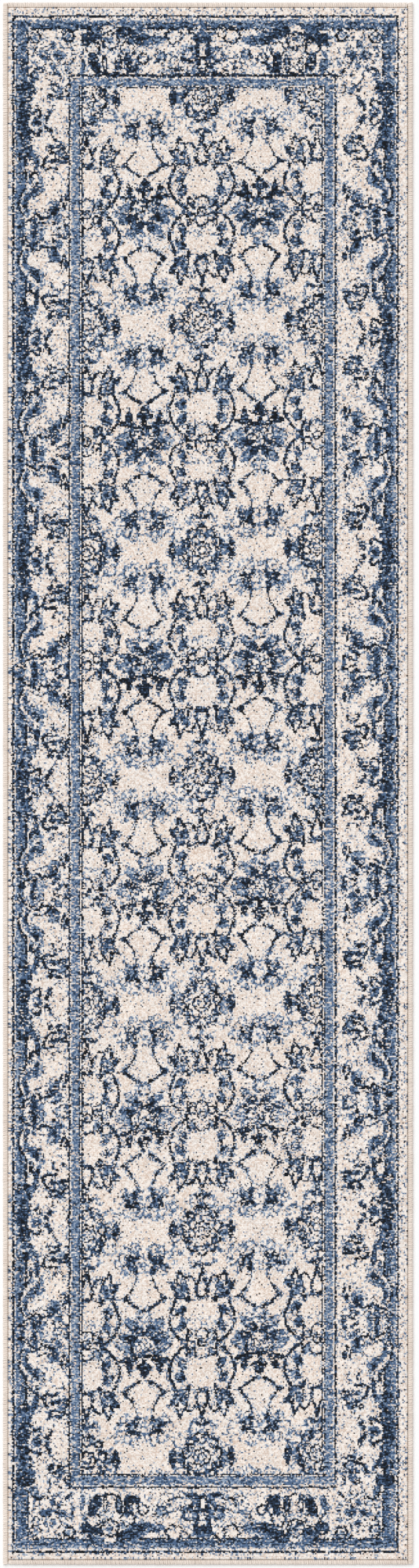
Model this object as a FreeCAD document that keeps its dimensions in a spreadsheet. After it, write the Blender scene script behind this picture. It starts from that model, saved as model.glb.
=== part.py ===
import FreeCAD, Part
import os
import Sketcher

# A machine-woven runner rug lying flat. Millimetres, +Z up, +Y along its length towards the head end.
# The origin is the centre of the underside, where the rug meets the floor.

doc = FreeCAD.newDocument("RunnerRug")
sheet = doc.addObject("Spreadsheet::Sheet", "dims")

drivingDimensions = [
    ("rug_width", 800.0),       # over the serged edges
    ("rug_length", 3050.0),
    ("serging_width", 10.0),    # yarn sleeve seen as the plain band round the rug
    ("serging_height", 7.0),
    ("serging_round", 3.0),     # outer long corners of the sleeve
    ("serging_shoulder", 1.5),  # its top corner beside the pile
    ("margin_depth", 3.5),      # how far the weave reaches into the sleeve
    ("cord_diameter", 4.4),     # filler cord that the serging yarn is wound round
    ("cord_inset", 3.6),        # cord axis from the outer edge
    ("cord_level", 3.5),        # cord axis above the floor
    ("sizing_depth", 0.3),      # latex coat on the back
    ("lower_weft_depth", 0.7),
    ("stuffer_depth", 0.6),
    ("upper_weft_depth", 0.7),
    ("pile_depth", 7.7),        # cut tufts above the weave
    ("pile_round", 2.5),        # worn shoulder of the pile
    ("groove_width", 1.0),      # row between sleeve and pile that the machine's needle runs in
    ("thread_width", 0.8),
    ("thread_depth", 0.8),
]

for row, (alias, value) in enumerate(drivingDimensions, start=1):
    sheet.set("A%d" % row, alias)
    sheet.set("B%d" % row, str(value))
    sheet.setAlias("B%d" % row, alias)
doc.recompute()

# levels and sizes that several sub-parts share, as expressions on the sheet
lowerWeftLevel = "dims.sizing_depth"
stufferLevel = lowerWeftLevel + " + dims.lower_weft_depth"
upperWeftLevel = stufferLevel + " + dims.stuffer_depth"
weaveTop = upperWeftLevel + " + dims.upper_weft_depth"
innerWidth = "(dims.rug_width - 2 * dims.serging_width)"
innerLength = "(dims.rug_length - 2 * dims.serging_width)"
wovenWidth = "(%s + 2 * dims.margin_depth)" % innerWidth
wovenLength = "(%s + 2 * dims.margin_depth)" % innerLength
pileWidth = "(%s - 2 * dims.groove_width)" % innerWidth
pileLength = "(%s - 2 * dims.groove_width)" % innerLength

# the four edges: name, length of that edge's pieces, outer edge's distance from the centre, turn about Z
edges = [
    ("right", "dims.rug_length", "dims.rug_width / 2", 0),
    ("head", innerWidth, "dims.rug_length / 2", 90),
    ("left", "dims.rug_length", "dims.rug_width / 2", 180),
    ("foot", innerWidth, "dims.rug_length / 2", 270),
]
stitchLengths = {"right": innerLength, "left": innerLength, "head": pileWidth, "foot": pileWidth}


def bind(target, bindings):
    for prop, expression in bindings.items():
        target.setExpression(prop, expression)


def placeOnEdge(piece, distance, turn):
    """A piece modelled beside the Y axis goes to the edge that lies that far out, turned about Z."""
    piece.Placement = FreeCAD.Placement(FreeCAD.Vector(), FreeCAD.Rotation(FreeCAD.Vector(0, 0, 1), turn))
    outward = {0: ("x", "+"), 90: ("y", "+"), 180: ("x", "-"), 270: ("y", "-")}[turn]
    piece.setExpression("Placement.Base.%s" % outward[0], "%s(%s)" % (outward[1], distance))


def addLayer(label, width, length, level, depth):
    """One flat layer of the cloth, centred on the Z axis."""
    layer = doc.addObject("Part::Box", label)
    layer.Label = label
    bind(layer, {
        "Length": width,
        "Width": length,
        "Height": depth,
        "Placement.Base.x": "-%s / 2" % width,
        "Placement.Base.y": "-%s / 2" % length,
        "Placement.Base.z": level,
    })


def addBody(label):
    body = doc.addObject("PartDesign::Body", label)
    body.Label = label
    return body


def addSketch(body, name, role):
    sketch = body.newObject("Sketcher::SketchObject", name)
    plane = [feature for feature in body.Origin.OriginFeatures if feature.Role == role][0]
    sketch.AttachmentSupport = (plane, [""])
    sketch.MapMode = "FlatFace"
    return sketch


def drawRectangle(sketch, left, bottom, width, height):
    """A rectangle in the sketch's first quadrant, its four sizes bound to expressions."""
    corners = [FreeCAD.Vector(x, y, 0) for x, y in ((1, 1), (2, 1), (2, 2), (1, 2))]
    for i in range(4):
        sketch.addGeometry(Part.LineSegment(corners[i], corners[(i + 1) % 4]))
    for i in range(4):
        sketch.addConstraint(Sketcher.Constraint("Coincident", i, 2, (i + 1) % 4, 1))
    for i in (0, 2):
        sketch.addConstraint(Sketcher.Constraint("Horizontal", i))
        sketch.addConstraint(Sketcher.Constraint("Vertical", i + 1))
    sizes = [
        ("left", "DistanceX", (-1, 1, 0, 1), left),
        ("bottom", "DistanceY", (-1, 1, 0, 1), bottom),
        ("width", "DistanceX", (0, 1, 0, 2), width),
        ("height", "DistanceY", (1, 1, 1, 2), height),
    ]
    for name, kind, points, expression in sizes:
        index = sketch.addConstraint(Sketcher.Constraint(kind, *points, 1.0))
        sketch.renameConstraint(index, name)
        sketch.setExpression("Constraints." + name, expression)


def drawCircle(sketch, centreX, centreY, diameter):
    sketch.addGeometry(Part.Circle(FreeCAD.Vector(5, 5, 0), FreeCAD.Vector(0, 0, 1), 1))
    sizes = [
        ("centreX", "DistanceX", (-1, 1, 0, 3), centreX),
        ("centreY", "DistanceY", (-1, 1, 0, 3), centreY),
        ("diameter", "Diameter", (0,), diameter),
    ]
    for name, kind, points, expression in sizes:
        index = sketch.addConstraint(Sketcher.Constraint(kind, *points, 2.0))
        sketch.renameConstraint(index, name)
        sketch.setExpression("Constraints." + name, expression)


def addSymmetric(body, kind, name, profile, length):
    """A pad or pocket that runs the same way both sides of its sketch."""
    feature = body.newObject(kind, name)
    feature.Profile = profile
    feature.SideType = "Symmetric"
    feature.setExpression("Length", length)
    return feature


def addFillet(body, name, base, edgeNames, radius):
    fillet = body.newObject("PartDesign::Fillet", name)
    fillet.Base = (base, edgeNames)
    fillet.setExpression("Radius", radius)
    return fillet


def edgesWhere(shape, test):
    """Names of the edges whose bounding box passes the test."""
    return ["Edge%d" % (i + 1) for i, edge in enumerate(shape.Edges) if test(edge.BoundBox)]


def addPile():
    """The cut pile: one soft slab whose top shoulder is worn round."""
    body = addBody("pile")
    sketch = addSketch(body, "PileOutline", "XY_Plane")
    drawRectangle(sketch, "0", "0", pileWidth, pileLength)
    pad = body.newObject("PartDesign::Pad", "PileDepth")
    pad.Profile = sketch
    pad.setExpression("Length", "dims.pile_depth")
    doc.recompute()
    topEdges = edgesWhere(pad.Shape, lambda box: box.ZMin > sheet.pile_depth - 0.001)
    addFillet(body, "PileShoulder", pad, topEdges, "dims.pile_round")
    bind(body, {
        "Placement.Base.x": "-%s / 2" % pileWidth,
        "Placement.Base.y": "-%s / 2" % pileLength,
        "Placement.Base.z": weaveTop,
    })


def addSerging(side, length, distance, turn):
    """Yarn sleeve over one edge, with a slot for the weave's margin and a hole for the filler cord.

    Its section is drawn at positive X, from the outer face inwards, so the body is turned half a turn
    further than its edge to bring the outer face outside.
    """
    body = addBody(side + "_edge_serging")
    outline = addSketch(body, side + "SleeveOutline", "XZ_Plane")
    drawRectangle(outline, "0", "0", "dims.serging_width", "dims.serging_height")
    pad = addSymmetric(body, "PartDesign::Pad", side + "SleevePad", outline, length)
    doc.recompute()

    def outerLong(box):
        return box.XMax < 0.001 and box.YLength > sheet.serging_width and box.ZLength < 0.001

    def innerTop(box):
        alongY = box.YLength > sheet.serging_width
        return alongY and box.XMin > sheet.serging_width - 0.001 and box.ZMin > sheet.serging_height - 0.001

    outerRound = addFillet(body, side + "OuterRound", pad, edgesWhere(pad.Shape, outerLong),
                           "dims.serging_round")
    doc.recompute()
    addFillet(body, side + "InnerShoulder", outerRound, edgesWhere(outerRound.Shape, innerTop),
              "dims.serging_shoulder")
    doc.recompute()
    slot = addSketch(body, side + "MarginSlotOutline", "XZ_Plane")
    drawRectangle(slot, "dims.serging_width - dims.margin_depth", stufferLevel, "dims.margin_depth",
                  "dims.stuffer_depth + dims.upper_weft_depth")
    addSymmetric(body, "PartDesign::Pocket", side + "MarginSlot", slot, length)
    hole = addSketch(body, side + "CordHoleOutline", "XZ_Plane")
    drawCircle(hole, "dims.cord_inset", "dims.cord_level", "dims.cord_diameter")
    addSymmetric(body, "PartDesign::Pocket", side + "CordHole", hole, length)
    placeOnEdge(body, distance, turn)
    halfTurn = FreeCAD.Rotation(FreeCAD.Vector(0, 0, 1), 180)
    body.Placement.Rotation = body.Placement.Rotation.multiply(halfTurn)


def addCord(side, length, distance, turn):
    """Round filler cord lying in the sleeve's hole; a cylinder laid along its edge."""
    cord = doc.addObject("Part::Cylinder", side + "_edge_cord")
    cord.Label = side + "_edge_cord"
    bind(cord, {"Radius": "dims.cord_diameter / 2", "Height": length})
    alongY = FreeCAD.Rotation(FreeCAD.Vector(1, 0, 0), -90)
    axisDistance = "%s - dims.cord_inset" % distance
    placeOnEdge(cord, axisDistance, turn)
    cord.Placement.Rotation = cord.Placement.Rotation.multiply(alongY)
    # the cylinder grows from its base, so the base goes half a length back along the edge
    back = {0: ("y", "-"), 90: ("x", ""), 180: ("y", ""), 270: ("x", "-")}[turn]
    cord.setExpression("Placement.Base.%s" % back[0], "%s(%s) / 2" % (back[1], length))
    cord.setExpression("Placement.Base.z", "dims.cord_level")


def addLockStitch(side, distance, turn):
    """The needle thread's row, lying on the weave in the groove between sleeve and pile."""
    label = side + "_lock_stitch"
    thread = doc.addObject("Part::Box", label)
    thread.Label = label
    length = stitchLengths[side]
    centre = "(%s - dims.serging_width - dims.groove_width / 2)" % distance
    alongX = turn in (90, 270)
    sign = "-" if turn in (180, 270) else ""
    across = "%s%s - dims.thread_width / 2" % (sign, centre)
    along = "-%s / 2" % length
    bind(thread, {
        "Length": length if alongX else "dims.thread_width",
        "Width": "dims.thread_width" if alongX else length,
        "Height": "dims.thread_depth",
        "Placement.Base.x": along if alongX else across,
        "Placement.Base.y": across if alongX else along,
        "Placement.Base.z": weaveTop,
    })


# the cloth, from the floor up
addLayer("back_sizing", innerWidth, innerLength, "0", "dims.sizing_depth")
addLayer("lower_weft", innerWidth, innerLength, lowerWeftLevel, "dims.lower_weft_depth")
addLayer("stuffer_warps", wovenWidth, wovenLength, stufferLevel, "dims.stuffer_depth")
addLayer("upper_weft", wovenWidth, wovenLength, upperWeftLevel, "dims.upper_weft_depth")
addPile()

# the edge finish
for side, length, distance, turn in edges:
    addSerging(side, length, distance, turn)
    addCord(side, length, distance, turn)
    addLockStitch(side, distance, turn)

doc.recompute()

failed = [item.Label for item in doc.Objects if "Invalid" in item.State or "Error" in item.State]
if failed:
    raise RuntimeError("objects failed: " + ", ".join(failed))

kinds = ("PartDesign::Body", "Part::Box", "Part::Cylinder")
subParts = [item for item in doc.Objects if item.TypeId in kinds]
for item in subParts:
    if item.Shape.isNull() or not item.Shape.isValid():
        raise RuntimeError("bad shape: " + item.Label)

os.makedirs("parts", exist_ok=True)
for item in subParts:
    item.Shape.exportStep("parts/%s.step" % item.Label)
    box = item.Shape.BoundBox
    print("%-20s x %8.1f %8.1f  y %8.1f %8.1f  z %5.2f %5.2f  %10.0f mm3" % (
        item.Label, box.XMin, box.XMax, box.YMin, box.YMax, box.ZMin, box.ZMax, item.Shape.Volume))
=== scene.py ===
import math

import bpy
import numpy as np
from mathutils import Matrix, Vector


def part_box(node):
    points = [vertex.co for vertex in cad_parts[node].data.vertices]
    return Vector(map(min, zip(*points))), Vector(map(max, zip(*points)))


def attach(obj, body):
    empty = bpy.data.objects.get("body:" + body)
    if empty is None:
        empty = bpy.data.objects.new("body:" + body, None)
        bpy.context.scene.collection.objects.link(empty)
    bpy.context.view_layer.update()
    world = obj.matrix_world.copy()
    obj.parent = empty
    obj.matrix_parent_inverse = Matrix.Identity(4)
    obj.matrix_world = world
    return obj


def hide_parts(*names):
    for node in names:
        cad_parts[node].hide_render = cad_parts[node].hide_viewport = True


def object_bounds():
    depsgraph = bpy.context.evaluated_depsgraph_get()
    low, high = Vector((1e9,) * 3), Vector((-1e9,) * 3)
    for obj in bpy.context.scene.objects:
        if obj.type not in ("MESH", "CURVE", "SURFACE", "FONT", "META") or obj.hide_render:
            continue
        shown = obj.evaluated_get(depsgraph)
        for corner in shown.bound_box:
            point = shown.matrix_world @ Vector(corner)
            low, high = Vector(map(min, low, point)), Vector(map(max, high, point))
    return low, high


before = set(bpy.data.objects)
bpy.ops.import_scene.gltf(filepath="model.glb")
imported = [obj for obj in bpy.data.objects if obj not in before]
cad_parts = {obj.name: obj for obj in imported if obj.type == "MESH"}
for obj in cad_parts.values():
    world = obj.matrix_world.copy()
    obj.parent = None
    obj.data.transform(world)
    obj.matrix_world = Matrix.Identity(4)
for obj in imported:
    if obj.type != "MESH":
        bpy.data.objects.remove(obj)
cadLow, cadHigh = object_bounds()
mm = .001

# the woven design, worked out for every tuft
weave = {
    "tuft": 2.5,             # mm from tuft to tuft, both ways
    "cell": 1.0,             # mm, how finely the design is drawn before it is woven
    "seed": 41,
    "drift": 1.2,            # mm that an outline wanders
    "ragged": .9,            # mm that single tufts stray over an outline
    "stroke": 1.3,           # how much wider a yarn line comes out than it is drawn
    "swell": 1.13,           # and a filled shape
    "skew": .031,            # how much the pattern's rows climb to the right
    "fieldAxis": -11.5,      # the field's middle axis, off the rug's centre as woven
    "endAxis": -10.0,        # the middle axis of the head and foot borders
    "repeatAcross": 224.5,
    "repeatAlong": 442.5,
    "turnedAbove": 456.0,    # past this the repeat is woven the other way up
    "borderRepeat": 429.0,
}

# how worn the cloth is, in bands across it: middle, half height (mm), strength
wornBands = [(1330, 60, .5), (1235, 50, .45), (905, 45, .5), (590, 50, .35), (300, 90, .5), (15, 80, .75),
             (-205, 90, .7), (-500, 120, .8), (-650, 90, .9), (-880, 60, .55), (-1060, 60, .3),
             (-1300, 60, .2)]

# what each painted area is woven from: shares of cream, stone, sky, denim, navy and ink yarn
blends = {
    "ground": (.605, .352, .016, .011, .010, .006),
    "haze":   (.52, .17, .16, .10, .04, .01),
    "lace":   (.28, .10, .12, .15, .20, .15),
    "rim":    (.04, .04, .08, .26, .36, .22),
    "flecks": (.55, .26, .09, .06, .03, .01),
    "veil":   (.18, .14, .32, .25, .10, .01),
    "stripe": (.03, .09, .34, .44, .09, .01),
    "sky":    (.05, .10, .42, .34, .08, .01),
    "denim":  (.02, .03, .17, .46, .26, .06),
    "navy":   (.01, .01, .03, .17, .46, .32),
    "line":   (.02, .02, .03, .09, .36, .48),
}
blendNames = list(blends)


def smooth(values, across, along):
    # running means, twice each way, over so many tufts
    for axis, width in ((1, across), (0, along)):
        if width < 2:
            continue
        for _ in range(2):
            start, end = values.take(range(width), axis), values.take(range(-width, 0), axis)
            padded = np.concatenate([start, values, end], axis)
            total = np.cumsum(padded, axis)
            size = values.shape[axis]
            first = width - width // 2 - 1
            upper = total.take(range(first + width, first + width + size), axis)
            lower = total.take(range(first, first + size), axis)
            values = (upper - lower) / width
    return values


def cloudy(rng, shape, across, along):
    # soft noise from -1 to 1 with patches about so many tufts wide and long
    noise = smooth(rng.standard_normal(shape), across, along)
    return np.clip(noise / (2.2 * noise.std()), -1, 1)


def ranked(values):
    # the same picture with its values spread evenly from 0 to 1
    order = np.argsort(values, axis=None, kind="stable")
    spread = np.empty(values.size)
    spread[order] = (np.arange(values.size) + .5) / values.size
    return spread.reshape(values.shape)


class Cloth:
    # a stretch of the design in its own folded coordinates, u across and v along, in mm

    def __init__(self, across, along):
        self.corner = (across[0], along[0])
        self.u, self.v = np.meshgrid(np.arange(*across, weave["cell"]), np.arange(*along, weave["cell"]))
        self.tone = np.zeros(self.u.shape, int)

    def at(self, u, v):
        rows, cols = self.tone.shape
        col = np.clip((u - self.corner[0]) / weave["cell"], 0, cols - 1).astype(int)
        row = np.clip((v - self.corner[1]) / weave["cell"], 0, rows - 1).astype(int)
        return self.tone[row, col]

    def fill(self, mask, blend):
        self.tone[mask] = blendNames.index(blend)

    def swell(self, blend):
        return 1.0 if blend == "ground" else weave["swell"]

    def disc(self, u, v, radius, blend, stretch=1.0):
        reach = radius * self.swell(blend)
        self.fill((self.u - u) ** 2 + ((self.v - v) / stretch) ** 2 < reach ** 2, blend)

    def ring(self, u, v, radius, width, blend, stretch=1.0):
        distance = np.hypot(self.u - u, (self.v - v) / stretch)
        self.fill(np.abs(distance - radius) < width * weave["stroke"] / 2, blend)

    def flower(self, u, v, radius, petals, depth, blend, turn=0.0, stretch=1.0):
        du, dv = self.u - u, (self.v - v) / stretch
        edge = radius * (1 + depth * np.cos(petals * (np.arctan2(dv, du) - turn)))
        self.fill(np.hypot(du, dv) < edge, blend)

    def lobes(self, u, v, radius, width, petals, depth, blend, turn=0.0, stretch=1.0):
        # the outline of a round shape with a lobed edge
        du, dv = self.u - u, (self.v - v) / stretch
        edge = radius * (1 + depth * np.abs(np.cos(petals / 2 * (np.arctan2(dv, du) - turn))) - depth / 2)
        self.fill(np.abs(np.hypot(du, dv) - edge) < width * weave["stroke"] / 2, blend)

    def leaf(self, u, v, length, width, turn, blend, fullness=.5):
        # a pointed leaf from its middle, turned from +u towards +v; fullness moves its widest place
        angle = np.radians(turn)
        du, dv = self.u - u, self.v - v
        s = (du * np.cos(angle) + dv * np.sin(angle)) / (length * self.swell(blend)) + .5
        t = -du * np.sin(angle) + dv * np.cos(angle)
        s = np.clip(s, 0, 1)
        inside = (s > 0) & (s < 1)
        bent = s ** (np.log(.5) / np.log(fullness))
        self.fill(inside & (np.abs(t) < width * self.swell(blend) / 2 * np.sin(np.pi * bent)), blend)

    def oval(self, u, v, length, width, turn, blend):
        angle = np.radians(turn)
        size = self.swell(blend)
        du, dv = self.u - u, self.v - v
        s = du * np.cos(angle) + dv * np.sin(angle)
        t = -du * np.sin(angle) + dv * np.cos(angle)
        self.fill((2 * s / length / size) ** 2 + (2 * t / width / size) ** 2 < 1, blend)

    def bar(self, u, v, halfWidth, halfHeight, blend):
        self.fill((np.abs(self.u - u) < halfWidth) & (np.abs(self.v - v) < halfHeight), blend)

    def vine(self, points, width, blend):
        # a smooth line through the points
        knots = np.array(points, float)
        if len(knots) > 2:
            ends = np.vstack([2 * knots[0] - knots[1], knots, 2 * knots[-1] - knots[-2]])
            pieces = []
            for a, b, c, d in zip(ends, ends[1:], ends[2:], ends[3:]):
                for s in np.linspace(0, 1, 5)[:-1]:
                    pieces.append(.5 * (2 * b + (c - a) * s + (2 * a - 5 * b + 4 * c - d) * s ** 2
                                        + (3 * b - a - 3 * c + d) * s ** 3))
            knots = np.array(pieces + [knots[-1]])
        near = np.full(self.u.shape, 1e9)
        for (au, av), (bu, bv) in zip(knots, knots[1:]):
            du, dv = bu - au, bv - av
            s = np.clip(((self.u - au) * du + (self.v - av) * dv) / (du * du + dv * dv + 1e-9), 0, 1)
            near = np.minimum(near, np.hypot(self.u - au - s * du, self.v - av - s * dv))
        self.fill(near < width * weave["stroke"] / 2, blend)


def paintCartouche(c):
    # the double-bulged panel on the middle axis; v is counted from its waist
    c.vine([(51, 94), (52, 84), (56, 72), (61, 60), (63, 50), (62, 40), (58, 30), (52, 20), (44, 11),
            (36, 6), (29, 4)], 4.6, "line")
    c.vine([(29, -3), (38, -8), (46, -15), (53, -23), (60, -35), (63, -48), (62, -62), (57, -74), (53, -84),
            (50, -92)], 4.6, "line")
    c.vine([(27, 30), (28, 18), (28, 8), (28, -6), (28, -24)], 3.2, "line")
    c.oval(41, 67, 21, 15, -25, "denim")
    c.leaf(36, 65, 17, 8, 100, "navy")
    c.disc(48, 58, 3, "line")
    c.vine([(36, 60), (38, 52), (36, 46)], 3.4, "line")
    c.oval(37, 37, 27, 14, -62, "denim")
    c.leaf(32, 39, 20, 7, 105, "navy")
    c.vine([(43, 28), (43, 20), (40, 12)], 2.8, "lace")
    c.oval(38, -38, 26, 14, 58, "denim")
    c.leaf(32, -37, 20, 7, 82, "navy")
    c.vine([(37, -46), (38, -54), (36, -58)], 3.4, "line")
    c.oval(41, -66, 20, 14, 30, "denim")
    c.leaf(37, -63, 16, 8, 70, "navy")
    c.disc(49, -57, 3, "lace")
    c.vine([(44, -28), (43, -20), (36, -10)], 2.8, "lace")
    # the waist's lace: small rings and scallops round cream spots
    c.oval(0, 45, 58, 15, 0, "haze")
    c.vine([(0, 31), (7, 28), (11, 21), (12, 12)], 2.8, "line")
    c.vine([(14, 27), (20, 29), (26, 27)], 2.6, "lace")
    c.oval(21, 20, 11, 9, 60, "lace")
    c.ring(18, 13, 7, 2.8, "line")
    c.disc(18, 13, 3, "ground")
    c.vine([(0, 11), (6, 9), (8, 2), (4, -4), (0, -5)], 2.8, "line")
    c.disc(3, 3, 3.2, "lace")
    c.oval(36, 3, 10, 7, 0, "denim")
    c.leaf(20, -15, 25, 12, -65, "sky")
    c.vine([(13, -5), (21, -8), (26, -16), (23, -26)], 2.8, "line")
    c.vine([(0, -28), (8, -24), (13, -20), (14, -11)], 2.8, "line")
    c.disc(11, -23, 3, "line")
    c.disc(6, -13, 4.5, "ground")


def paintCrown(c, up, stray):
    # the shelf and the leafy crown at one end of the cartouche; stray moves an oval leaf a little
    def at(*points):
        return [(u, up * v) for u, v in points]

    c.vine(at((0, 88), (12, 87), (25, 87)), 4.4, "lace")
    c.leaf(5, 92 * up, 17, 8, 10 * up, "navy")
    c.leaf(26, 86 * up, 18, 8, 80 * up, "line")
    c.vine(at((28, 90), (40, 90), (52, 91)), 3.2, "line")
    c.oval(43, 96 * up, 21, 10, 8 * up, "denim")
    c.vine(at((1, 147), (2, 134), (5, 124), (9, 114), (11, 105), (9, 96)), 4, "line")
    c.disc(11, 104 * up, 4.4, "navy")
    c.vine(at((12, 117), (17, 127), (24, 132), (31, 129)), 3, "line")
    c.disc(16, 125 * up, 3.2, "line")
    c.vine(at((25, 87), (26, 96), (28, 106), (29, 115), (32, 124), (37, 132), (43, 142)), 3.8, "line")
    c.vine(at((43, 143), (46, 134), (48, 125), (46, 115)), 4.2, "line")
    c.oval(35, (110 + stray) * up, 18, 13, 90, "denim")
    c.leaf(40, 107 * up, 16, 5, 95 * up, "navy")
    c.oval(41, 124 * up, 13, 8, 85, "ground")
    c.leaf(20, 106 * up, 22, 10, 88, "ground")
    c.vine(at((51, 90), (50, 99), (53, 108), (59, 118)), 5.4, "navy")
    c.leaf(56, 112 * up, 20, 10, 62 * up, "navy")
    c.vine(at((51, 119), (63, 119)), 3, "line")
    c.oval(45, 105 * up, 12, 6, 60 * up, "sky")
    # the arms that reach to the palmettes and up to the carnations
    c.vine(at((51, 91), (60, 90), (70, 92)), 3, "lace")
    c.oval(74, 92 * up, 12, 10, 30 * up, "navy")
    c.vine(at((76, 96), (83, 103), (88, 111)), 3.4, "line")
    c.vine(at((88, 111), (93, 121), (95, 132)), 2.2, "line")
    c.vine(at((74, 91), (80, 86), (88, 79), (96, 74), (104, 69)), 4, "line")
    c.disc(87, 80 * up, 3.6, "navy")
    c.disc(100, 73 * up, 3.8, "line")


def paintMedallion(c):
    # the round rosette between two cartouches; v is counted from its own centre
    for v in (1, -1):
        for u, w, turn in ((42, 31, 40), (12, 54, 78)):
            c.oval(u, w * v, 33, 25, turn * v, "veil")
            c.oval(u, w * v, 25, 17, turn * v, "ground")
            c.oval(u - 2, (w - 4) * v, 9, 3.4, turn * v, "haze")
        c.leaf(8, 66 * v, 19, 8, 25 * v, "navy")
        c.vine([(2.6, 68 * v), (2.6, 93 * v)], 1.9, "line")
    c.oval(40, 0, 26, 21, 0, "denim")
    c.oval(44, 2, 11, 9, 0, "sky")
    c.oval(0, 0, 70, 92, 0, "ground")
    c.lobes(0, 0, 34, 4.8, 11, .24, "line", turn=.2, stretch=1.26)
    for v in (1, -1):
        c.ring(21, 31 * v, 6.5, 3.4, "navy")
        c.oval(11, 34 * v, 13, 9, 30 * v, "denim")
        c.oval(26, 15 * v, 13, 8, 70 * v, "navy")
        c.oval(4, 40 * v, 9, 6, 0, "lace")
    c.lobes(0, 0, 24, 3, 9, .3, "rim", turn=.5, stretch=1.2)
    c.lobes(0, 0, 15, 3.2, 8, .26, "line")
    c.lobes(0, 0, 7, 2.4, 5, .3, "navy")
    c.leaf(56.5, 0, 40, 15, 90, "navy")
    c.oval(57, 0, 18, 11, 90, "line")


def paintPalmette(c, axis):
    # the palmette between two cartouches; its spires point to -v
    c.lobes(axis, 57, 11, 4, 5, .3, "sky")
    c.disc(axis - 10, 57, 3, "veil")
    c.oval(axis - 20, 35, 42, 19, -41, "denim")
    c.oval(axis - 27, 42, 20, 9, -41, "sky")
    c.leaf(axis - 10, 27, 28, 14, -52, "navy")
    c.oval(axis - 41, -3, 35, 14, -31, "sky")
    c.vine([(axis - 55, 2), (axis - 45, -9), (axis - 30, -15)], 2.6, "denim")
    c.oval(axis - 29, 12, 40, 19, -18, "denim")
    c.leaf(axis - 24, 12, 32, 15, -22, "navy")
    c.vine([(axis - 21, 4), (axis - 24, -6), (axis - 24, -16)], 8, "navy")
    c.oval(axis - 6, -4, 34, 26, 0, "lace")
    c.oval(axis - 2, -15, 11, 14, 0, "denim")
    c.disc(axis, 12, 8.5, "ground")
    c.ring(axis, 12, 8.5, 2, "lace")
    c.disc(axis, 11, 2, "line")
    c.vine([(axis - 10, 24), (axis - 4, 21), (axis, 21)], 5, "navy")
    c.leaf(axis - 30, -39, 34, 12, 88, "line")
    c.oval(axis - 32, -29, 32, 11, 4, "line")
    c.vine([(axis - 27, -25), (axis - 14, -21), (axis, -22)], 5.4, "line")
    c.vine([(axis - 1, -50), (axis, -38), (axis, -27)], 7, "line")
    c.leaf(axis, -50, 30, 18, 90, "line")
    c.oval(axis - 7, -43, 18, 11, 0, "line")


def paintCarnation(c, u, up):
    # a fan flower with a dark heart on its stem and a pale scalloped rim; u is its stem
    def at(*points):
        return [(u + a, up * b) for a, b in points]

    for a, b, radius in ((-34, 160, 8), (-27, 172, 7), (-17, 184, 8), (-3, 189, 9), (9, 181, 8),
                         (12, 166, 8), (10, 148, 7), (-22, 143, 6)):
        c.ring(u + a, b * up, radius, 3.2, "veil")
    c.vine(at((1, 126), (1, 136), (-1, 144)), 3, "veil")
    c.oval(u - 8, 160 * up, 27, 20, 90, "denim")
    c.oval(u - 10, 159 * up, 13, 11, 90, "sky")
    c.leaf(u - 1, 147 * up, 24, 10, 100 * up, "navy")
    c.vine(at((-2, 148), (-2, 157), (-5, 164), (2, 172), (5, 178)), 4.8, "navy")
    c.leaf(u + 2, 171 * up, 20, 9, 50 * up, "navy")
    c.leaf(u - 10, 171 * up, 14, 7, 118 * up, "line")
    c.leaf(u - 19, 155 * up, 20, 9, 28 * up, "navy")
    c.leaf(u - 17, 167 * up, 16, 8, 120 * up, "line")
    c.vine(at((-20, 152), (-21, 144), (-20, 137)), 3.4, "sky")
    c.vine(at((-39, 152), (-31, 150), (-24, 152)), 2.8, "lace")
    c.disc(u - 26, 163 * up, 4, "ground")
    c.disc(u + 5, 160 * up, 4.4, "ground")


def paintField():
    # half of one repeat: u from the field's middle axis to the next one, v from the cartouche's waist
    along = weave["repeatAlong"]
    c = Cloth((0, weave["repeatAcross"] / 2 + 1), (-along / 2, along / 2))
    for up in (1, -1):
        paintCarnation(c, 95 + (1.5 if up < 0 else 0), up)
    paintPalmette(c, weave["repeatAcross"] / 2)
    paintCartouche(c)
    paintCrown(c, 1, 0)
    paintCrown(c, -1, -1)
    c.v = (c.v + along) % along - along / 2
    paintMedallion(c)
    return c


def fieldTone(x, y):
    axis = weave["repeatAcross"] / 2
    along = weave["repeatAlong"]
    u = np.abs((x - weave["fieldAxis"] + axis) % (2 * axis) - axis)
    fromEdge = (y - weave["turnedAbove"]) % along
    v = np.where(y > weave["turnedAbove"], along / 2 - fromEdge, fromEdge - along / 2)
    return paintField().at(u, v)


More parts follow.
